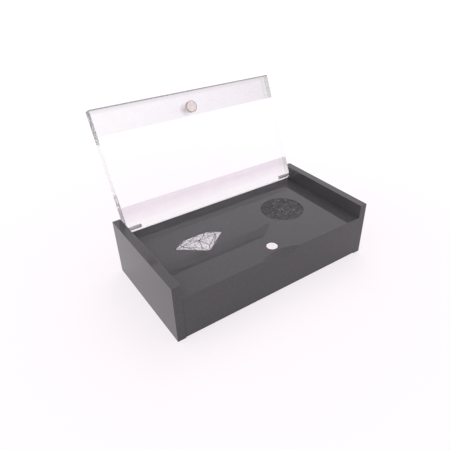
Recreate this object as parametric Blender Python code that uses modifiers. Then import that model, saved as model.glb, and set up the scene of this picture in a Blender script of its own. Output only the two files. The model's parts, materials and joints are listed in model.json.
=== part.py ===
"""Gemstone display box: a black acrylic tray with a clear lid on two pins, a foam insert and magnets.

Units are metres. +X runs along the box, +Y from its front to its back, +Z up. The origin is on the floor,
under the middle of the space that the box takes with its lid standing open.
"""
import math

import bmesh
import bpy
from mathutils import Matrix

# Black tray
box_width = 0.108            # over both side panels
box_depth = 0.0583           # side panel, front to back
box_height = 0.0287          # side panel, floor to top
wall_sheet = 0.004           # side, front, back and deck panels
base_sheet = 0.003
deck_drop = 0.0067           # deck below the tops of the side panels
rear_slot = 0.0037           # side panels run on behind the back panel, past the lid's heel
foot_rise = 0.0006           # panels between the sides, above the floor
seam = 0.0003                # glue line between neighbours
sheet_ease = 0.00015         # eased edge of a cut sheet

# Finger scoop in the front panel's upper edge
scoop_width = 0.022
scoop_reach = 0.003          # back over the top face, and down the front face

# Clear lid, which stands open on the stop that its heel makes with the deck's rear edge
lid_sheet = 0.006
lid_side_gap = 0.0008
lid_lift = 0.00035           # closed lid above the deck
lid_overhang = 0.0008        # closed lid past the front panel
pin_cover = 0.002            # from the hinge axis to the lid's inner face
heel_round = 0.0037
heel_stop_gap = 0.0001       # from the open lid's heel to the deck's rear edge
lid_open_angle = math.radians(114.4)

# Hinge pins, fixed in the side panels
pin_radius = 0.00075
pin_in_side = 0.0025
pin_in_lid = 0.0072
hinge_play = 0.0001
pin_fit = 0.0001

# Magnets, one in the deck and one in the lid, which meet when the lid is closed
magnet_radius = 0.00265
magnet_height = 0.003
magnet_inset = 0.0069        # from the front face to the magnets' axis
magnet_fit = 0.0001
magnet_ease = 0.0002

# The mark's and the insert's distance from the middle, of the half width between the side panels
item_share = 0.49

# Foam insert, right of the middle, and the cup under the deck that holds it
insert_radius = 0.0106
insert_height = 0.006
insert_drop = 0.0002         # below the deck
cup_wall = 0.002
cup_floor = 0.002

# Cut-gem mark, left of the middle: a brilliant seen from its side, inlaid in the deck
gem_advance = 0.0023         # in front of the middle of the deck
gem_width = 0.0253
gem_height = 0.0137
gem_thickness = 0.0008
gem_line_width = 0.00026
gem_line_depth = 0.0003
table_share = 0.5            # table's half width, of the gem's half width
girdle_share = 0.72          # girdle's height, of the gem's height
star_share = 0.5             # crown's middle corners, of the way from girdle to table
keel_share = 0.38            # pavilion's lower corners, of the way from point to girdle
gem_sides = 8

# Shared
overrun = 0.001              # cutters reach this far past what they cut
weld = 0.000003              # corners closer than this are one
round_steps = 64
large_round_steps = 200
heel_steps = 12

# Worked out
deck_top = box_height - deck_drop
deck_under = deck_top - wall_sheet
between = box_width / 2 - wall_sheet
panel_end = between - seam
pin_depth = box_depth - rear_slot
item_offset = item_share * between
insert_inset = (wall_sheet + pin_depth) / 2
gem_inset = insert_inset - gem_advance - gem_height / 2
pin_height = deck_top + lid_lift + pin_cover
lid_reach = pin_depth + lid_overhang
lid_end = between - lid_side_gap
# The deck's rear edge is straight below the hinge axis. Seen from the open lid it lies this far behind
# the axis and this far towards the inner face, and the heel's round ends just short of it.
stop_behind = (lid_lift + pin_cover) * math.sin(lid_open_angle)
stop_inward = (lid_lift + pin_cover) * math.cos(lid_open_angle)
heel_length = (heel_round + stop_behind
               - math.sqrt((heel_round + heel_stop_gap)**2 - (pin_cover - heel_round - stop_inward)**2))
open_depth = (pin_depth - lid_reach * math.cos(lid_open_angle)
              + (lid_sheet - pin_cover) * math.sin(lid_open_angle))
front = -max(open_depth, box_depth) / 2
insert_hole = insert_radius + seam
insert_top = deck_top - insert_drop
cup_inside = insert_top - insert_height - seam


def clear_scene():
    for item in list(bpy.data.objects):
        bpy.data.objects.remove(item, do_unlink=True)


def new_collection(name):
    collection = bpy.data.collections.new(name)
    bpy.context.scene.collection.children.link(collection)
    return collection


def surface(name, colour, roughness, metallic=0.0, transmission=0.0):
    material = bpy.data.materials.new(name)
    material.use_nodes = True
    shader = material.node_tree.nodes["Principled BSDF"]
    shader.inputs["Base Color"].default_value = (*colour, 1.0)
    shader.inputs["Roughness"].default_value = roughness
    shader.inputs["Metallic"].default_value = metallic
    shader.inputs["Transmission Weight"].default_value = transmission
    material.diffuse_color = (*colour, 1.0)
    return material


def black_acrylic():
    return surface("black_acrylic", (0.035, 0.034, 0.037), 0.08)


def clear_acrylic():
    return surface("clear_acrylic", (0.93, 0.92, 0.95), 0.03, transmission=1.0)


def black_foam():
    return surface("black_foam", (0.012, 0.012, 0.012), 0.95)


def plated_metal():
    return surface("plated_metal", (0.80, 0.79, 0.80), 0.22, metallic=1.0)


def pin_steel():
    return surface("pin_steel", (0.45, 0.44, 0.45), 0.35, metallic=1.0)


def white_inlay():
    return surface("white_inlay", (0.86, 0.85, 0.87), 0.5)


def add_object(name, mesh, collection, material=None):
    item = bpy.data.objects.new(name, mesh)
    collection.objects.link(item)
    if material:
        mesh.materials.append(material)
    return item


def block(name, low, high, collection, material=None):
    """Box between two corners, with its origin at its middle."""
    bm = bmesh.new()
    size = [b - a for a, b in zip(low, high)]
    bmesh.ops.create_cube(bm, size=1.0, matrix=Matrix.Diagonal((*size, 1.0)))
    mesh = bpy.data.meshes.new(name)
    bm.to_mesh(mesh)
    bm.free()
    item = add_object(name, mesh, collection, material)
    item.location = [(a + b) / 2 for a, b in zip(low, high)]
    return item


def rod(name, radius, length, collection, material=None, steps=round_steps):
    """Cylinder along Z, with its origin at its middle."""
    bm = bmesh.new()
    bmesh.ops.create_cone(bm, cap_ends=True, segments=steps, radius1=radius, radius2=radius, depth=length)
    mesh = bpy.data.meshes.new(name)
    bm.to_mesh(mesh)
    bm.free()
    shade_round(mesh)
    return add_object(name, mesh, collection, material)


def shade_round(mesh):
    mesh.shade_smooth()
    mesh.set_sharp_from_angle(angle=math.radians(30))


def slab(name, outline, thickness, collection, material=None):
    """Flat plate with the outline's shape in its own XY plane, and its origin at half its thickness."""
    curve = bpy.data.curves.new(name, "CURVE")
    curve.dimensions = "2D"
    curve.fill_mode = "BOTH"
    curve.extrude = thickness / 2
    spline = curve.splines.new("POLY")
    spline.points.add(len(outline) - 1)
    for point, (x, y) in zip(spline.points, outline):
        point.co = (x, y, 0.0, 1.0)
    spline.use_cyclic_u = True
    drawn = bpy.data.objects.new(name, curve)
    collection.objects.link(drawn)
    bpy.context.view_layer.update()
    mesh = bpy.data.meshes.new_from_object(drawn.evaluated_get(bpy.context.evaluated_depsgraph_get()))
    bpy.data.objects.remove(drawn, do_unlink=True)
    bm = bmesh.new()
    bm.from_mesh(mesh)
    bmesh.ops.remove_doubles(bm, verts=bm.verts, dist=weld)
    bmesh.ops.recalc_face_normals(bm, faces=bm.faces)
    bm.to_mesh(mesh)
    bm.free()
    mesh.name = name
    return add_object(name, mesh, collection, material)


def ease(item, width, segments=2):
    bevel = item.modifiers.new("eased_edges", "BEVEL")
    bevel.width = width
    bevel.segments = segments
    bevel.limit_method = "ANGLE"
    bevel.angle_limit = math.radians(40)


def cut(item, cutter):
    boolean = item.modifiers.new(cutter.name, "BOOLEAN")
    boolean.operation = "DIFFERENCE"
    boolean.solver = "EXACT"
    boolean.object = cutter
    cutter.hide_render = True
    cutter.display_type = "WIRE"


def side_panel(name, side, parts, cutters):
    """Side panel with the blind hole that holds its hinge pin; side is -1 on the left and 1 on the right."""
    inner, outer = side * between, side * box_width / 2
    low = (min(inner, outer), front, 0.0)
    high = (max(inner, outer), front + box_depth, box_height)
    panel = block(name, low, high, parts, black_acrylic())
    ease(panel, sheet_ease)
    depth = pin_in_side + pin_fit + overrun
    hole = rod(name + "_pin_hole", pin_radius + pin_fit, depth, cutters)
    hole.rotation_euler = (0.0, math.pi / 2, 0.0)
    hole.location = (inner + side * (depth / 2 - overrun), front + pin_depth, pin_height)
    cut(panel, hole)


def front_panel(parts, cutters):
    """Front panel with a shallow round scoop across its upper front edge."""
    panel = block("front_panel", (-panel_end, front, foot_rise), (panel_end, front + wall_sheet, deck_top),
                  parts, black_acrylic())
    scoop_depth = scoop_reach / math.sqrt(2)
    radius = (scoop_width**2 / 4 + scoop_depth**2) / (2 * scoop_depth)
    scoop = rod("finger_scoop", radius, 2 * (scoop_reach + overrun), cutters, steps=large_round_steps)
    scoop.rotation_euler = (-math.pi / 4, 0.0, 0.0)
    offset = (radius - scoop_depth) / math.sqrt(2)
    scoop.location = (0.0, front - offset, deck_top + offset)
    cut(panel, scoop)


def back_panel(parts):
    rear = front + pin_depth
    block("back_panel", (-panel_end, rear - wall_sheet, foot_rise), (panel_end, rear, deck_under - seam),
          parts, black_acrylic())


def base_panel(parts):
    block("base_panel", (-panel_end, front + wall_sheet + seam, foot_rise),
          (panel_end, front + pin_depth - wall_sheet - seam, foot_rise + base_sheet), parts, black_acrylic())


def deck_panel(parts, cutters):
    """Raised floor of the tray, open round the insert, with pockets for the magnet and the mark."""
    deck = block("deck_panel", (-panel_end, front + wall_sheet + seam, deck_under),
                 (panel_end, front + pin_depth, deck_top), parts, black_acrylic())
    hole = rod("insert_hole", insert_hole, wall_sheet + 2 * overrun, cutters)
    hole.location = (item_offset, front + insert_inset, deck_top - wall_sheet / 2)
    cut(deck, hole)
    pocket_depth = magnet_height + magnet_fit
    pocket = rod("deck_magnet_pocket", magnet_radius + magnet_fit, pocket_depth + overrun, cutters)
    pocket.location = (0.0, front + magnet_inset, deck_top + (overrun - pocket_depth) / 2)
    cut(deck, pocket)
    recess_depth = gem_thickness + seam
    recess = slab("gem_recess", outset(gem_outline(), seam), recess_depth + overrun, cutters)
    recess.location = (-item_offset, front + gem_inset, deck_top + (overrun - recess_depth) / 2)
    cut(deck, recess)


def insert_cup(parts):
    """Turned cup under the deck, with its wall round the hole and its floor under the foam."""
    outer = insert_hole + cup_wall
    rim = deck_under - seam
    under = cup_inside - cup_floor
    profile = [(0.0, cup_inside), (insert_hole, cup_inside), (insert_hole, rim),
               (outer, rim), (outer, under), (0.0, under)]
    bm = bmesh.new()
    corners = [bm.verts.new((x, 0.0, z - under)) for x, z in profile]
    for a, b in zip(corners, corners[1:]):
        bm.edges.new((a, b))
    mesh = bpy.data.meshes.new("insert_cup")
    bm.to_mesh(mesh)
    bm.free()
    cup = add_object("insert_cup", mesh, parts, black_acrylic())
    cup.location = (item_offset, front + insert_inset, under)
    turn = cup.modifiers.new("turned", "SCREW")
    turn.steps = turn.render_steps = round_steps
    turn.use_merge_vertices = True
    turn.merge_threshold = weld


def foam_insert(parts):
    foam = rod("foam_insert", insert_radius, insert_height, parts, black_foam())
    foam.location = (item_offset, front + insert_inset, insert_top - insert_height / 2)


def deck_magnet(parts):
    magnet = rod("deck_magnet", magnet_radius, magnet_height, parts, plated_metal())
    magnet.location = (0.0, front + magnet_inset, deck_top - magnet_height / 2)
    ease(magnet, magnet_ease)


def gem_corner(angle, reach, height):
    """Corner of the gem on a circle of the given reach, at a height above the point, both as shares."""
    return (reach * math.sin(angle) * gem_width / 2, height * gem_height)


def gem_outline():
    half = gem_width / 2
    girdle = girdle_share * gem_height
    table = table_share * half
    return [(0.0, 0.0), (half, girdle), (table, gem_height), (-table, gem_height), (-half, girdle)]


def gem_lines():
    """Edges between the facets that face the front: kites and stars above the girdle, kites below it."""
    step = 2 * math.pi / gem_sides
    crown_reach = 1 + (table_share - 1) * star_share
    crown_height = girdle_share + (1 - girdle_share) * star_share
    lines = [(gem_outline()[4], gem_outline()[1])]
    for side in range(-gem_sides // 4, gem_sides // 4):
        between_angle = (side + 1 / 2) * step
        crown = gem_corner(between_angle, crown_reach, crown_height)
        keel = gem_corner(between_angle, keel_share, keel_share * girdle_share)
        lines.append((keel, (0.0, 0.0)))
        for angle in (side * step, (side + 1) * step):
            girdle = gem_corner(angle, 1.0, girdle_share)
            lines.append((gem_corner(angle, table_share, 1.0), crown))
            lines.append((crown, girdle))
            lines.append((girdle, keel))
    return lines


def outset(outline, gap):
    """The outline, taken anticlockwise, with each of its straight sides moved out by the gap."""
    moved = []
    count = len(outline)
    for i in range(count):
        (ax, ay), (bx, by), (cx, cy) = outline[i - 1], outline[i], outline[(i + 1) % count]
        first = math.atan2(by - ay, bx - ax)
        second = math.atan2(cy - by, cx - bx)
        middle = (first + second) / 2
        if abs(second - first) > math.pi:
            middle += math.pi
        reach = gap / math.cos((second - first) / 2)
        moved.append((bx + abs(reach) * math.sin(middle), by - abs(reach) * math.cos(middle)))
    return moved


def gem_mark(parts, cutters):
    """Thin inlaid plate, flush with the deck, with a groove along each edge between two facets."""
    plate = slab("gem_mark", gem_outline(), gem_thickness, parts, white_inlay())
    plate.location = (-item_offset, front + gem_inset, deck_top - gem_thickness / 2)
    for number, ((ax, ay), (bx, by)) in enumerate(gem_lines()):
        half_length = math.hypot(bx - ax, by - ay) / 2 + gem_line_width / 2
        groove = block(f"gem_line_{number:02d}", (-half_length, -gem_line_width / 2, -gem_line_depth),
                       (half_length, gem_line_width / 2, overrun), cutters)
        groove.rotation_euler = (0.0, 0.0, math.atan2(by - ay, bx - ax))
        groove.location = (plate.location.x + (ax + bx) / 2, plate.location.y + (ay + by) / 2,
                           deck_top + (overrun - gem_line_depth) / 2)
        cut(plate, groove)


def hinge_pin(name, side, parts):
    length = pin_in_side + lid_side_gap + pin_in_lid
    pin = rod(name, pin_radius, length, parts, pin_steel())
    pin.rotation_euler = (0.0, math.pi / 2, 0.0)
    pin.location = (side * (between + pin_in_side - length / 2), front + pin_depth, pin_height)


def lid_hinge(parts):
    """Empty on the hinge axis. Its children are placed as in the closed lid, and it swings them open."""
    hinge = bpy.data.objects.new("lid_hinge", None)
    hinge.empty_display_size = lid_sheet
    hinge.location = (0.0, front + pin_depth, pin_height)
    hinge.rotation_euler = (-lid_open_angle, 0.0, 0.0)
    parts.objects.link(hinge)
    return hinge


def lid_profile():
    """End view of the lid: x runs from the hinge axis to the lid's front edge, y to its inner face."""
    outer = pin_cover - lid_sheet
    outline = [(-heel_length, outer), (lid_reach, outer), (lid_reach, pin_cover)]
    for step in range(heel_steps + 1):
        angle = math.pi / 2 * (1 + step / heel_steps)
        outline.append((heel_round - heel_length + heel_round * math.cos(angle),
                        pin_cover - heel_round + heel_round * math.sin(angle)))
    return outline


def lid_panel(hinge, parts, cutters):
    """Clear lid with its heel rounded, a bore for a pin in each end and a pocket for the magnet."""
    lid = slab("lid_panel", lid_profile(), 2 * lid_end, parts, clear_acrylic())
    end_view = Matrix(((0, 0, 1), (-1, 0, 0), (0, -1, 0))).to_4x4()
    lid.data.transform(end_view)
    lid.parent = hinge
    ease(lid, sheet_ease)
    depth = pin_in_lid + pin_fit + overrun
    for side in (-1, 1):
        bore = rod(f"pin_bore_{'left' if side < 0 else 'right'}", pin_radius + hinge_play, depth, cutters)
        bore.parent = hinge
        bore.rotation_euler = (0.0, math.pi / 2, 0.0)
        bore.location = (side * (lid_end + overrun - depth / 2), 0.0, 0.0)
        cut(lid, bore)
    pocket_depth = magnet_height + magnet_fit
    pocket = rod("lid_magnet_pocket", magnet_radius + magnet_fit, pocket_depth + overrun, cutters)
    pocket.parent = hinge
    pocket.location = (0.0, magnet_inset - pin_depth, (pocket_depth - overrun) / 2 - pin_cover)
    cut(lid, pocket)


def lid_magnet(hinge, parts):
    magnet = rod("lid_magnet", magnet_radius, magnet_height, parts, plated_metal())
    magnet.parent = hinge
    magnet.location = (0.0, magnet_inset - pin_depth, magnet_height / 2 - pin_cover)
    ease(magnet, magnet_ease)


def build():
    clear_scene()
    parts = new_collection("gemstone_display_box")
    cutters = new_collection("cutters")
    side_panel("left_side_panel", -1, parts, cutters)
    side_panel("right_side_panel", 1, parts, cutters)
    front_panel(parts, cutters)
    back_panel(parts)
    base_panel(parts)
    deck_panel(parts, cutters)
    insert_cup(parts)
    foam_insert(parts)
    deck_magnet(parts)
    gem_mark(parts, cutters)
    hinge_pin("left_hinge_pin", -1, parts)
    hinge_pin("right_hinge_pin", 1, parts)
    hinge = lid_hinge(parts)
    lid_panel(hinge, parts, cutters)
    lid_magnet(hinge, parts)


build()
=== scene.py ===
"""Looks of the gemstone display box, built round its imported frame. Units are metres.

+X runs along the box, +Y from its front to its back, +Z up. At rest the clear lid stands open.
Colours are linear. Scales of noise and cells are counts per metre.
"""
import json
import math

import bmesh
import bpy
from mathutils import Matrix, Vector, noise


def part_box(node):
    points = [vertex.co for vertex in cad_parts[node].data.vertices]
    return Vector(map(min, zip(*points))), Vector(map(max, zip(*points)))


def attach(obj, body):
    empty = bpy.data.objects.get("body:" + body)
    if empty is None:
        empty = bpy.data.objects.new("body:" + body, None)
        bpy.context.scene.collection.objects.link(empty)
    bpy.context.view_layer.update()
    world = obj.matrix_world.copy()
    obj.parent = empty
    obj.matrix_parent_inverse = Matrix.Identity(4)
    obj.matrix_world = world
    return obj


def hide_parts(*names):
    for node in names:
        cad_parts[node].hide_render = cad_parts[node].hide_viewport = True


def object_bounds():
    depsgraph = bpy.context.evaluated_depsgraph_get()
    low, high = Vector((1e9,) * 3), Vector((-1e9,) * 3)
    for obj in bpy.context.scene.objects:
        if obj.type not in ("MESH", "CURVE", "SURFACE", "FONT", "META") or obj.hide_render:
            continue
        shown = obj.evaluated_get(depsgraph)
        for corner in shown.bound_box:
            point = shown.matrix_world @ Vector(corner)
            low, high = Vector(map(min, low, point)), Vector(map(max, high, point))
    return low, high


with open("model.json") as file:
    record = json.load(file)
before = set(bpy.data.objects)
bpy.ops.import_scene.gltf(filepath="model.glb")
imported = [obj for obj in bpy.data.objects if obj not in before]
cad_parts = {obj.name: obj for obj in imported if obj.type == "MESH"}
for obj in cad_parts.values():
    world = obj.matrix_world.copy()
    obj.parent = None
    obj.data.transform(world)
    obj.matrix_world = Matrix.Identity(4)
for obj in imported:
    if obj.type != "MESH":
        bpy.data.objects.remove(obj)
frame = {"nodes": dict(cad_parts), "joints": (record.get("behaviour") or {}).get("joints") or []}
cad_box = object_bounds()
mm = 0.001

# Places taken from the frame
deck_low, deck_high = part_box("deck_panel")
front_low, front_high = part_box("front_panel")
foam_low, foam_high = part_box("foam_insert")
mark_low, mark_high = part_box("gem_mark")
magnet_low, magnet_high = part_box("lid_magnet")
left_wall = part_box("left_side_panel")[1].x       # inner faces of the side panels
right_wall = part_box("right_side_panel")[0].x
lid_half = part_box("lid_panel")[1].x              # half the lid's width
deck_top = deck_high.z
hinge = frame["joints"][0]
hinge_point = Vector(hinge["pos_m"])
open_angle = math.radians(hinge["range_deg"][1])

# Camera, fitted to the photograph's edges
camera_azimuth = math.radians(-35.674)
camera_elevation = math.radians(34.482)
camera_roll = math.radians(-0.208)
camera_distance = 214.5 * mm
camera_target = Vector((0.0, front_low.y + 27 * mm, 16.2 * mm))
camera_lens = 34.905
camera_shift = (-0.04688, 0.02458)

# Light: an even tent, a large lamp behind on the right, and a low one on the left. Powers in watts
tent_level = 0.85
key_place, key_size, key_power = Vector((0.50, 0.40, 0.80)), 0.7, 2.4
fill_place, fill_size, fill_power = Vector((-0.92, 0.28, 0.24)), 0.6, 1.8
light_bounces = 40              # the lid's ends show what many reflections inside it carry

# Floor
floor_radius = 1.6
floor_drop = 0.02 * mm          # below the box
floor_dimming = 0.68            # of the paper's own colour, for what sees the floor
floor_lift = 0.725              # of full white, added for what sees the floor
mirror_lift = 0.78              # of that, for what the polished faces mirror

# Lid: reach runs from the hinge axis to the free edge, depth from the inner face outwards
lid_thickness = 6 * mm
lid_reach = 55.4 * mm
hinge_depth = 2 * mm
bore_radius = 0.95 * mm
pocket_depth = 3 * mm
upper_film_start = 43.3 * mm
lower_film_end = 9.8 * mm
film_blur = 0.6 * mm
lid_lean = open_angle - math.pi / 2
lid_up = Vector((0.0, math.sin(lid_lean), math.cos(lid_lean)))
lid_out = Vector((0.0, math.cos(lid_lean), -math.sin(lid_lean)))
magnet_middle = (magnet_low + magnet_high) / 2
magnet_reach = (magnet_middle - hinge_point).dot(lid_up)
magnet_radius = (magnet_high.x - magnet_low.x) / 2

# Foam pad
pad_overlap = 0.27 * mm         # wider than the solid, so that it fills the deck's hole
pad_rise = 0.08 * mm
pit_depth = 0.11 * mm
rim_drop = 0.05 * mm

# Cement
glue_depth = 2 * mm
glue_sink = 0.01 * mm
mark_gap = 0.3 * mm
mark_glue_depth = 0.6 * mm
mark_girdle = 0.72              # girdle's height, of the mark's height
mark_table = 0.5                # table's half width, of the mark's half width


class Graph:
    """The nodes of a material or world, with one method for each kind of step."""

    def __init__(self, owner):
        self.owner = owner
        owner.use_nodes = True
        self.tree = owner.node_tree
        self.tree.nodes.clear()

    def node(self, kind, **settings):
        made = self.tree.nodes.new("ShaderNode" + kind)
        for key, value in settings.items():
            setattr(made, key, value)
        return made

    def put(self, socket, value):
        """Links or sets a socket. A colour may be given without its alpha."""
        if isinstance(value, bpy.types.NodeSocket):
            self.tree.links.new(value, socket)
            return
        if isinstance(value, tuple) and len(value) == 3 and len(socket.default_value) == 4:
            value = (*value, 1.0)
        socket.default_value = value

    def made(self, node, output, **inputs):
        """Fills a node's inputs by name, and gives one of its outputs."""
        for key, value in inputs.items():
            self.put(node.inputs[key.replace("_", " ")], value)
        return node.outputs[output]

    def place(self):
        return self.node("TexCoord").outputs["Object"]

    def math(self, operation, *values):
        node = self.node("Math", operation=operation)
        for socket, value in zip(node.inputs, values):
            self.put(socket, value)
        return node.outputs[0]

    def times(self, a, b):
        return self.math("MULTIPLY", a, b)

    def plus(self, a, b):
        return self.math("ADD", a, b)

    def minus(self, a, b):
        return self.math("SUBTRACT", a, b)

    def larger(self, a, b):
        return self.math("MAXIMUM", a, b)

    def vector_math(self, operation, output, *vectors):
        node = self.node("VectorMath", operation=operation)
        for socket, value in zip(node.inputs, vectors):
            self.put(socket, value)
        return node.outputs[output]

    def dot(self, a, b):
        return self.vector_math("DOT_PRODUCT", "Value", a, b)

    def scaled(self, vector, factors):
        return self.vector_math("MULTIPLY", "Vector", vector, factors)

    def away(self, a, b):
        """Distance in a plane, from its two parts."""
        return self.math("SQRT", self.plus(self.times(a, a), self.times(b, b)))

    def noise(self, vector, scale, detail=2.0, roughness=0.5):
        return self.made(self.node("TexNoise"), "Fac", Vector=vector, Scale=scale, Detail=detail,
                         Roughness=roughness)

    def cells(self, vector, scale):
        return self.made(self.node("TexVoronoi"), "Distance", Vector=vector, Scale=scale)

    def ramp(self, value, start, end, low=0.0, high=1.0, blend="LINEAR"):
        return self.made(self.node("MapRange", interpolation_type=blend), "Result", Value=value,
                         From_Min=start, From_Max=end, To_Min=low, To_Max=high)

    def above(self, value, start, blur):
        """0 up to start, and 1 from start + blur on."""
        return self.ramp(value, start, start + blur)

    def below(self, value, start, blur):
        """1 up to start, and 0 from start + blur on."""
        return self.ramp(value, start, start + blur, 1.0, 0.0)

    def mix(self, factor, a, b):
        node = self.node("Mix", data_type="RGBA")
        for index, value in ((0, factor), (6, a), (7, b)):       # the sockets of a colour mix
            self.put(node.inputs[index], value)
        return node.outputs[2]

    def bump(self, height, distance, strength):
        return self.made(self.node("Bump"), "Normal", Height=height, Distance=distance,
                         Strength=strength)

    def principled(self, **inputs):
        return self.made(self.node("BsdfPrincipled"), "BSDF", **inputs)

    def emission(self, colour, strength):
        return self.made(self.node("Emission"), "Emission", Color=colour, Strength=strength)

    def mix_shader(self, factor, a, b):
        node = self.node("MixShader")
        for socket, value in zip(node.inputs, (factor, a, b)):
            self.put(socket, value)
        return node.outputs[0]

    def add_shader(self, a, b):
        node = self.node("AddShader")
        for socket, value in zip(node.inputs, (a, b)):
            self.put(socket, value)
        return node.outputs[0]

    def finish(self, surface, kind="Material"):
        self.put(self.node("Output" + kind).inputs["Surface"], surface)
        return self.owner


def material_graph(name):
    return Graph(bpy.data.materials.new(name))


# Materials

def black_acrylic():
    """Polished cast acrylic: nearly even black, with faint haze, hairlines and a little dust."""
    deep, hazed, grained = (0.056, 0.053, 0.057), (0.064, 0.061, 0.066), (0.082, 0.078, 0.083)
    dust = (0.20, 0.19, 0.19)
    g = material_graph("black_acrylic_sheet")
    place = g.place()
    haze = g.noise(place, scale=90.0, detail=3.0)
    grain = g.ramp(g.noise(place, scale=2400.0), 0.3, 0.7)
    picked = g.above(g.noise(place, scale=95.0, detail=0.0), 0.68, blur=0.02)
    speck = g.times(g.below(g.cells(place, scale=420.0), 0.05, blur=0.04), picked)
    colour = g.mix(grain, g.mix(haze, deep, hazed), grained)
    colour = g.mix(speck, colour, dust)
    roughness = g.plus(g.ramp(haze, 0.3, 0.7, 0.03, 0.06), g.times(speck, 0.5))
    hairs = g.noise(g.scaled(place, (1.0, 0.08, 1.0)), scale=2600.0, detail=1.0)
    ripple = g.plus(g.noise(place, scale=1400.0), hairs)
    normal = g.bump(ripple, distance=0.001 * mm, strength=0.35)
    return g.finish(g.principled(Base_Color=colour, Roughness=roughness, IOR=1.46, Normal=normal))


def lid_spot(g, place):
    """A point's reach from the hinge axis, its depth from the inner face, and its place along."""
    reach = g.minus(g.dot(place, lid_up), lid_up.dot(hinge_point))
    outwards = g.minus(g.dot(place, lid_out), lid_out.dot(hinge_point))
    return reach, g.plus(outwards, hinge_depth), g.dot(place, (1.0, 0.0, 0.0))


def film_band(g, reach, along):
    """The two bands that carry a film. The upper one thins out to the left, the lower one down."""
    upper = g.times(g.above(reach, upper_film_start, film_blur),
                    g.ramp(along, -50 * mm, 50 * mm, 0.40, 1.0))
    lower = g.times(g.below(reach, lower_film_end, film_blur), g.ramp(reach, 0.0, 7 * mm, 0.1, 1.0))
    return g.larger(upper, lower)


def film_cloud(g, place):
    """Slight unevenness of the film, coarse and fine."""
    coarse = g.ramp(g.noise(place, scale=160.0, detail=3.0), 0.3, 0.7, 0.85, 1.0)
    fine = g.ramp(g.noise(place, scale=1100.0), 0.3, 0.7, 0.80, 1.0)
    return g.times(coarse, fine)


def film_tint(g, along):
    """Colour that the film lets through. It is darker where looked through at a slant, and darker
    still near the lid's right end, which is painted shade.
    """
    straight, slanting, painted_end_shade = (0.66, 0.55, 0.67), (0.22, 0.20, 0.22), (0.49, 0.46, 0.48)
    slant = g.ramp(g.node("LayerWeight").outputs["Facing"], 0.06, 0.24)
    # Painted shade over the last few millimetres before the right end
    shaded_right_end = g.above(along, lid_half - 3.2 * mm, blur=0.8 * mm)
    return g.mix(shaded_right_end, g.mix(slant, straight, slanting), painted_end_shade)


def painted_magnet_shadow(g, place, aside, beyond, depth):
    """Painted shadow of the magnet on the inner face, to its lower left: a patch of grey film."""
    spread = g.away(g.plus(aside, 3.9 * mm), g.plus(beyond, 0.9 * mm))
    uneven = g.ramp(g.noise(place, scale=500.0), 0.2, 0.6, 0.4, 1.0)
    magnet_shadow = g.times(g.ramp(spread, 0.6 * mm, 3.4 * mm, 0.9, 0.0), uneven)
    return g.times(magnet_shadow, g.below(depth, 0.02 * mm, blur=0.04 * mm))


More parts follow.
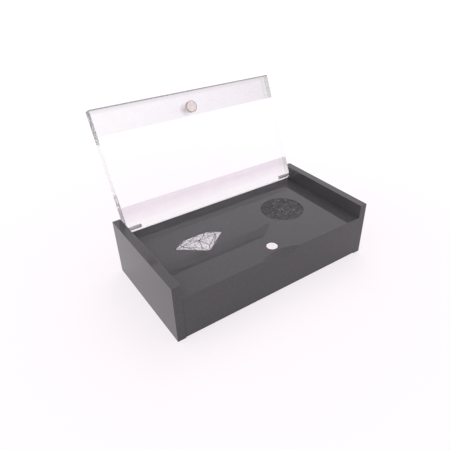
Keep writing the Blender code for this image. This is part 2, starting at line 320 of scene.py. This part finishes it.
def clear_acrylic():
    """Clear cast acrylic with a faint film on its outer face and ends, in two bands."""
    # The ends' tint is painted shade for the grey strips at the lid's ends in the bands
    clear, end_shade_tint = (0.995, 0.99, 0.995), (0.50, 0.46, 0.50)
    # Painted shade: the tint near the free edge, the tint on it and its darker frost
    shaded_near_edge_tint, free_edge_shade_tint = (0.36, 0.32, 0.36), (0.34, 0.31, 0.34)
    film_frost, shaded_edge_frost = (0.62, 0.57, 0.60), (0.46, 0.42, 0.45)
    cement_grey, drilled_white = (0.60, 0.55, 0.56), (0.97, 0.90, 0.94)
    g = material_graph("clear_acrylic_sheet")
    place = g.place()
    reach, depth, along = lid_spot(g, place)
    sideways = g.math("ABSOLUTE", along)
    aside, beyond = g.minus(along, magnet_middle.x), g.minus(reach, magnet_reach)

    # Where each finish lies
    outer = g.above(depth, lid_thickness - 0.4 * mm, blur=0.3 * mm)
    band = film_band(g, reach, along)
    on_ends = g.times(band, g.above(sideways, lid_half - 0.06 * mm, blur=0.04 * mm))
    zone = g.times(g.times(band, outer), film_cloud(g, place))
    # The free edge is frosted, and tinted dark as painted shade for the dark line along it
    free_edge = g.above(reach, lid_reach - 0.25 * mm, blur=0.2 * mm)
    # Painted shade: the outer face darkens over the last 2 mm before the free edge
    shaded_near_edge = g.times(g.ramp(reach, lid_reach - 2.4 * mm, lid_reach - 0.3 * mm, 0.0, 0.55), outer)
    # Painted shadow of the magnet, laid on as grey film
    magnet_shadow = painted_magnet_shadow(g, place, aside, beyond, depth)

    # Clear sheet, tinted by the film, darkened along the free edge and on the filmed ends as
    # painted shade, and rough on the filmed ends
    colour = g.mix(zone, clear, film_tint(g, along))
    # The filmed ends take painted shade
    colour = g.mix(on_ends, colour, end_shade_tint)
    colour = g.mix(shaded_near_edge, colour, shaded_near_edge_tint)
    colour = g.mix(free_edge, colour, free_edge_shade_tint)
    normal = g.bump(g.noise(place, scale=60.0), distance=0.01 * mm, strength=0.1)
    glass = g.principled(Base_Color=colour, Roughness=g.ramp(on_ends, 0.0, 0.4, 0.012, 0.28),
                         IOR=1.49, Transmission_Weight=1.0, Normal=normal)

    # The film's own scatter, the frosted free edge darkened as painted shade, and a painted shadow
    # of the magnet in grey film
    frost = g.mix(free_edge, film_frost, shaded_edge_frost)
    film = g.principled(Base_Color=frost, Roughness=0.6)
    share = g.larger(g.times(zone, 0.05), g.times(free_edge, 0.5))
    share = g.larger(share, g.times(on_ends, 0.12))
    # Grey film also where the magnet's shadow is painted
    body = g.mix_shader(g.larger(share, magnet_shadow), glass, film)

    # Cement on the wall of the magnet's pocket, and the drilled wall of the pins' bores
    ring = g.below(g.away(aside, beyond), magnet_radius + 0.2 * mm, blur=0.1 * mm)
    wall = g.times(g.above(depth, 0.02 * mm, blur=0.04 * mm),
                   g.below(depth, pocket_depth + 0.02 * mm, blur=0.04 * mm))
    cement = g.principled(Base_Color=cement_grey, Roughness=0.4)
    body = g.mix_shader(g.times(ring, wall), body, cement)
    bore = g.below(g.away(reach, g.minus(depth, hinge_depth)), bore_radius, blur=0.05 * mm)
    inside = g.ramp(sideways, lid_half - 0.1 * mm, lid_half - 0.05 * mm, 0.4, 0.0)
    drilled = g.principled(Base_Color=drilled_white, Roughness=0.6)
    body = g.mix_shader(g.times(bore, inside), body, drilled)

    # Light passes on to what the lid would shade
    passing = g.made(g.node("BsdfTransparent"), "BSDF", Color=(0.93, 0.92, 0.93))
    return g.finish(g.mix_shader(g.node("LightPath").outputs["Is Shadow Ray"], body, passing))


def black_foam():
    """Open-cell foam: grey struts, pores and hollows darkened with painted shade, and painted
    glints where a strut would catch the light.
    """
    # The hollow and pore colours are painted shade, the bright colour a painted glint
    hollow_shade, strut, pore_shade = (0.048, 0.046, 0.049), (0.132, 0.127, 0.133), (0.040, 0.039, 0.040)
    stain_brown, bright = (0.108, 0.105, 0.086), (0.36, 0.35, 0.34)
    g = material_graph("open_cell_foam")
    place = g.place()
    blotch = g.noise(place, scale=900.0, detail=3.0, roughness=0.65)
    pore = g.ramp(g.cells(place, scale=1500.0), 0.30, 0.62, 0.0, 0.6)
    stain = g.ramp(g.noise(place, scale=190.0), 0.52, 0.68, 0.0, 0.25)
    picked = g.above(g.noise(place, scale=480.0, detail=0.0), 0.62, blur=0.04)
    glint = g.times(g.below(g.cells(place, scale=1000.0), 0.18, blur=0.16), picked)
    # Dark hollows and pores are painted shade
    colour = g.mix(g.ramp(blotch, 0.38, 0.60), hollow_shade, strut)
    colour = g.mix(pore, colour, pore_shade)
    colour = g.mix(stain, colour, stain_brown)
    # Glints are painted highlights in the base colour
    colour = g.mix(glint, colour, bright)
    roughness = g.ramp(glint, 0.0, 1.0, 0.85, 0.3)
    grain = g.noise(place, scale=3200.0, detail=3.0)
    normal = g.bump(g.plus(grain, blotch), distance=0.08 * mm, strength=0.8)
    return g.finish(g.principled(Base_Color=colour, Roughness=roughness, Normal=normal,
                                 Specular_IOR_Level=0.35))


def plated_metal(name, light, dark):
    """Nickel plating with fine turning marks and a few dull patches."""
    g = material_graph(name)
    place = g.place()
    patch = g.noise(place, scale=800.0, detail=3.0)
    colour = g.mix(g.ramp(patch, 0.35, 0.65), light, dark)
    roughness = g.ramp(patch, 0.3, 0.7, 0.16, 0.30)
    normal = g.bump(g.noise(place, scale=4200.0), distance=0.004 * mm, strength=0.4)
    return g.finish(g.principled(Base_Color=colour, Metallic=1.0, Roughness=roughness,
                                 Normal=normal))


def pin_steel():
    """Drawn wire: fine lines along the pin."""
    g = material_graph("drawn_steel")
    lines = g.noise(g.scaled(g.place(), (0.06, 1.0, 1.0)), scale=5200.0)
    colour = g.mix(lines, (0.80, 0.74, 0.77), (0.98, 0.92, 0.95))
    normal = g.bump(lines, distance=0.01 * mm, strength=0.5)
    return g.finish(g.principled(Base_Color=colour, Metallic=1.0, Roughness=0.3, Normal=normal))


def white_inlay():
    """White fill with an uneven, mottled surface, black in its grooves."""
    dull, white = (0.42, 0.38, 0.42), (0.90, 0.86, 0.90)
    patch_grey, groove_black = (0.50, 0.45, 0.51), (0.004, 0.004, 0.004)
    g = material_graph("white_fill")
    place = g.place()
    grain = g.noise(place, scale=1800.0)
    patch = g.ramp(g.noise(place, scale=420.0, detail=3.0), 0.46, 0.60, 0.0, 0.30)
    height = g.dot(place, (0.0, 0.0, 1.0))
    groove = g.below(height, deck_top - 0.06 * mm, blur=0.04 * mm)
    colour = g.mix(g.ramp(grain, 0.40, 0.58), dull, white)
    colour = g.mix(patch, colour, patch_grey)
    colour = g.mix(groove, colour, groove_black)
    normal = g.bump(grain, distance=0.02 * mm, strength=0.4)
    return g.finish(g.principled(Base_Color=colour, Roughness=0.45, Normal=normal))


def pale_floor():
    """Matt paper: pale pink round the object and white further off.

    What sees it directly, through the lid or in a polished face sees it lifted towards white. As
    a source of light on the object it keeps its plain colour.
    """
    white, pink = (0.96, 0.95, 0.96), (0.92, 0.86, 0.90)
    white_glow, pink_glow = (1.0, 1.0, 1.0), (1.0, 0.955, 0.985)
    g = material_graph("pale_paper")
    place = g.place()
    distance = g.vector_math("LENGTH", "Value", place)
    near = g.ramp(distance, 0.08, 0.24, 1.0, 0.0, blend="SMOOTHSTEP")
    path = g.node("LightPath").outputs
    direct = g.larger(path["Is Camera Ray"], path["Is Transmission Ray"])
    mirrored = path["Is Glossy Ray"]
    in_lid = g.math("GREATER_THAN", path["Transmission Depth"], 0.5)
    lifted = g.larger(direct, g.times(mirrored, g.ramp(in_lid, 0.0, 1.0, mirror_lift, 1.0)))
    dimming = g.times(g.larger(direct, mirrored), floor_dimming)
    colour = g.mix(dimming, g.mix(near, white, pink), (0.0, 0.0, 0.0))
    normal = g.bump(g.noise(place, scale=900.0), distance=0.02 * mm, strength=0.2)
    paper = g.principled(Base_Color=colour, Roughness=0.9, Specular_IOR_Level=0.1, Normal=normal)
    glow = g.mix(near, white_glow, pink_glow)
    return g.finish(g.add_shader(paper, g.emission(glow, g.times(lifted, floor_lift))))


# Shapes

def new_piece(name, bm, material):
    """Makes an object of the mesh, with its faces turned outwards."""
    bmesh.ops.recalc_face_normals(bm, faces=bm.faces)
    mesh = bpy.data.meshes.new(name)
    bm.to_mesh(mesh)
    bm.free()
    piece = bpy.data.objects.new(name, mesh)
    bpy.context.scene.collection.objects.link(piece)
    mesh.materials.append(material)
    return piece


def join_loops(bm, first, second):
    """Fills the band between two closed rows of as many points."""
    count = len(first)
    for i in range(count):
        j = (i + 1) % count
        bm.faces.new((first[i], second[i], second[j], first[j]))


def join_rings(bm, inner, outer):
    """Fills the band between two rings, whose counts of points may differ."""
    centre = sum((vert.co for vert in outer), Vector()) / len(outer)

    def turn(vert):
        return math.atan2(vert.co.y - centre.y, vert.co.x - centre.x) % (2 * math.pi)

    a, b = sorted(inner, key=turn), sorted(outer, key=turn)
    i = j = 0
    while i < len(a) or j < len(b):
        next_a = turn(a[i]) if i < len(a) else math.inf
        next_b = turn(b[j]) if j < len(b) else math.inf
        here_a, here_b = a[(i - 1) % len(a)], b[(j - 1) % len(b)]
        if next_a <= next_b:
            bm.faces.new((here_a, here_b, a[i]))
            i += 1
        else:
            bm.faces.new((here_a, here_b, b[j]))
            j += 1


def pad_top(bm, centre, radius, height):
    """Flat disc of rings, fine enough to carry the pits. Gives its rim."""
    rings, fewest_points, points_per_ring = 46, 12, 6
    middle = bm.verts.new((centre.x, centre.y, height))
    inner = None
    for ring in range(1, rings + 1):
        count = max(fewest_points, points_per_ring * ring)
        reach = radius * ring / rings
        row = []
        for step in range(count):
            angle = 2 * math.pi * (step + 0.5 * (ring % 2)) / count
            row.append(bm.verts.new((centre.x + reach * math.cos(angle),
                                     centre.y + reach * math.sin(angle), height)))
        if inner:
            join_rings(bm, inner, row)
        else:
            for i in range(count):
                bm.faces.new((middle, row[i], row[(i + 1) % count]))
        inner = row
    return inner


def pit_pad(bm, centre, radius, top, under):
    """Pits the top, lowers its rim a little, and roughens the side."""
    coarse, fine, fine_share = 1900, 4100, 0.6
    rim_width = 0.1             # of the radius
    side_roughness = 0.008      # of the radius
    for vert in bm.verts:
        away = Vector((vert.co.x - centre.x, vert.co.y - centre.y))
        pit = noise.noise(vert.co * coarse) + fine_share * noise.noise(vert.co * fine)
        if vert.co.z > top - 0.01 * mm:
            rim = max(0.0, (away.length / radius - 1 + rim_width) / rim_width)
            vert.co.z += pit_depth * pit - rim_drop * rim**2 + pad_rise
        elif vert.co.z > under + 0.1 * mm:
            push = 1 - side_roughness * (1 + pit)
            vert.co.x = centre.x + away.x * push
            vert.co.y = centre.y + away.y * push


def foam_pad(material):
    """Round pad of open-cell foam with a pitted top, in the hole of the deck."""
    centre = (foam_low + foam_high) / 2
    radius = (foam_high.x - foam_low.x) / 2 + pad_overlap
    top, under = foam_high.z, foam_low.z
    levels = 8
    bm = bmesh.new()
    rim = pad_top(bm, centre, radius, top)
    for level in range(1, levels + 1):
        height = top + (under - top) * level / levels
        row = [bm.verts.new((vert.co.x, vert.co.y, height)) for vert in rim]
        join_loops(bm, rim, row)
        rim = row
    bm.faces.new(reversed(rim))
    pit_pad(bm, centre, radius, top, under)
    pad = new_piece("foam_pad", bm, material)
    pad.data.shade_smooth()
    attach(pad, "box")
    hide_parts("foam_insert")


def glue_bead(name, bm, material):
    bead = new_piece(name, bm, material)
    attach(bead, "box")


def glue_line(name, start, end, across, down, material):
    """Bead of cement that fills the joint between two sheets. Its face sinks a little.

    across is the joint's width as a vector, down points into the joint.
    """
    steps = 6
    profile = [(i / steps, glue_sink * math.sin(math.pi * i / steps)) for i in range(steps + 1)]
    profile += [(1.0, glue_depth), (0.0, glue_depth)]
    across, down = Vector(across), Vector(down)
    bm = bmesh.new()
    first, last = ([bm.verts.new(Vector(point) + across * a + down * d) for a, d in profile]
                   for point in (start, end))
    join_loops(bm, first, last)
    bm.faces.new(first)
    bm.faces.new(reversed(last))
    glue_bead(name, bm, material)


def glue_lines(material):
    front, rear = front_low.y, deck_high.y
    for side, wall, edge in (("left", left_wall, deck_low.x), ("right", right_wall, deck_high.x)):
        across = (edge - wall, 0, 0)
        glue_line(f"{side}_deck_glue", (wall, front, deck_top), (wall, rear, deck_top),
                  across, (0, 0, -1), material)
        glue_line(f"{side}_front_glue", (wall, front, front_low.z),
                  (wall, front, deck_top - glue_depth), across, (0, 1, 0), material)
    joint = front_high.y
    glue_line("front_deck_glue", (deck_low.x, joint, deck_top), (deck_high.x, joint, deck_top),
              (0, deck_low.y - joint, 0), (0, 0, -1), material)


def outset(corners, gap):
    """The outline, taken anticlockwise, with each of its sides moved out by the gap."""
    moved = []
    for i, corner in enumerate(corners):
        before = (corner - corners[i - 1]).normalized()
        after = (corners[(i + 1) % len(corners)] - corner).normalized()
        outwards = Vector((before.y + after.y, -before.x - after.x)).normalized()
        moved.append(corner + outwards * gap / math.cos(before.angle(after) / 2))
    return moved


def mark_glue(material):
    """Cement in the gap round the mark, flush with the deck."""
    middle = (mark_low + mark_high) / 2
    half = (mark_high.x - mark_low.x) / 2
    girdle = mark_low.y + mark_girdle * (mark_high.y - mark_low.y)
    table = mark_table * half
    corners = [(0.0, mark_low.y), (half, girdle), (table, mark_high.y), (-table, mark_high.y),
               (-half, girdle)]
    inner = [Vector((middle.x + x, y)) for x, y in corners]
    outer = outset(inner, mark_gap)
    top, under = deck_top - glue_sink, deck_top - mark_glue_depth
    bm = bmesh.new()
    rows = [[bm.verts.new((point.x, point.y, height)) for point in outline]
            for outline, height in ((inner, top), (outer, top), (outer, under), (inner, under))]
    for i, row in enumerate(rows):
        join_loops(bm, rows[i - 1], row)
    glue_bead("mark_glue", bm, material)


def floor():
    bm = bmesh.new()
    bmesh.ops.create_circle(bm, cap_ends=True, segments=96, radius=floor_radius)
    made = new_piece("floor", bm, pale_floor())
    made.location.z = cad_box[0][2] - floor_drop


# Light and camera

def soft_box(name, place, size, power):
    """Square lamp that faces the object. Only its light is seen, not the lamp."""
    lamp = bpy.data.lights.new(name, "AREA")
    lamp.size = size
    lamp.energy = power
    made = bpy.data.objects.new(name, lamp)
    bpy.context.scene.collection.objects.link(made)
    made.location = place
    made.rotation_euler = (-place).to_track_quat("-Z", "Y").to_euler()
    made.visible_camera = made.visible_glossy = made.visible_transmission = False


def light_tent():
    """Even pale surroundings, which shine a little less than what sees them shows."""
    world = bpy.data.worlds.new("light_tent")
    bpy.context.scene.world = world
    g = Graph(world)
    path = g.node("LightPath").outputs
    direct = g.larger(g.larger(path["Is Camera Ray"], path["Is Glossy Ray"]),
                      path["Is Transmission Ray"])
    background = g.made(g.node("Background"), "Background", Color=(1.0, 0.985, 0.995),
                        Strength=g.ramp(direct, 0.0, 1.0, tent_level, 1.0))
    g.finish(background, kind="World")


def camera():
    azimuth, elevation = camera_azimuth, camera_elevation
    back = Vector((math.sin(azimuth) * math.cos(elevation),
                   -math.cos(azimuth) * math.cos(elevation), math.sin(elevation)))
    right = Vector((0.0, 0.0, 1.0)).cross(back).normalized()
    turn = Matrix((right, back.cross(right), back)).transposed().to_4x4()
    turn = turn @ Matrix.Rotation(camera_roll, 4, "Z")
    data = bpy.data.cameras.new("camera")
    data.lens = camera_lens
    data.shift_x, data.shift_y = camera_shift
    data.clip_start = 10 * mm
    made = bpy.data.objects.new("camera", data)
    bpy.context.scene.collection.objects.link(made)
    made.matrix_world = Matrix.Translation(camera_target + back * camera_distance) @ turn
    bpy.context.scene.camera = made


def dress(material, *names):
    """Gives CAD nodes a material in place of their own."""
    for name in names:
        slots = frame["nodes"][name].data.materials
        slots.clear()
        slots.append(material)


def build():
    scene = bpy.context.scene
    scene.view_settings.view_transform = "Standard"
    scene.cycles.max_bounces = light_bounces
    scene.cycles.transmission_bounces = light_bounces
    scene.cycles.glossy_bounces = light_bounces
    black = black_acrylic()
    dress(black, "left_side_panel", "right_side_panel", "front_panel", "back_panel", "base_panel",
          "deck_panel", "insert_cup")
    dress(clear_acrylic(), "lid_panel")
    # Both nickels are tinted pink as painted reflection of the pink surroundings, and the lid
    # magnet's is darker as painted shade
    dress(plated_metal("bright_nickel", (0.99, 0.90, 0.94), (0.93, 0.83, 0.87)), "deck_magnet")
    dress(plated_metal("shaded_nickel", (0.86, 0.76, 0.75), (0.74, 0.64, 0.63)), "lid_magnet")
    dress(pin_steel(), "left_hinge_pin", "right_hinge_pin")
    dress(white_inlay(), "gem_mark")
    foam_pad(black_foam())
    glue_lines(black)
    mark_glue(black)
    floor()
    light_tent()
    soft_box("key", key_place, key_size, key_power)
    soft_box("fill", fill_place, fill_size, fill_power)
    camera()


build()
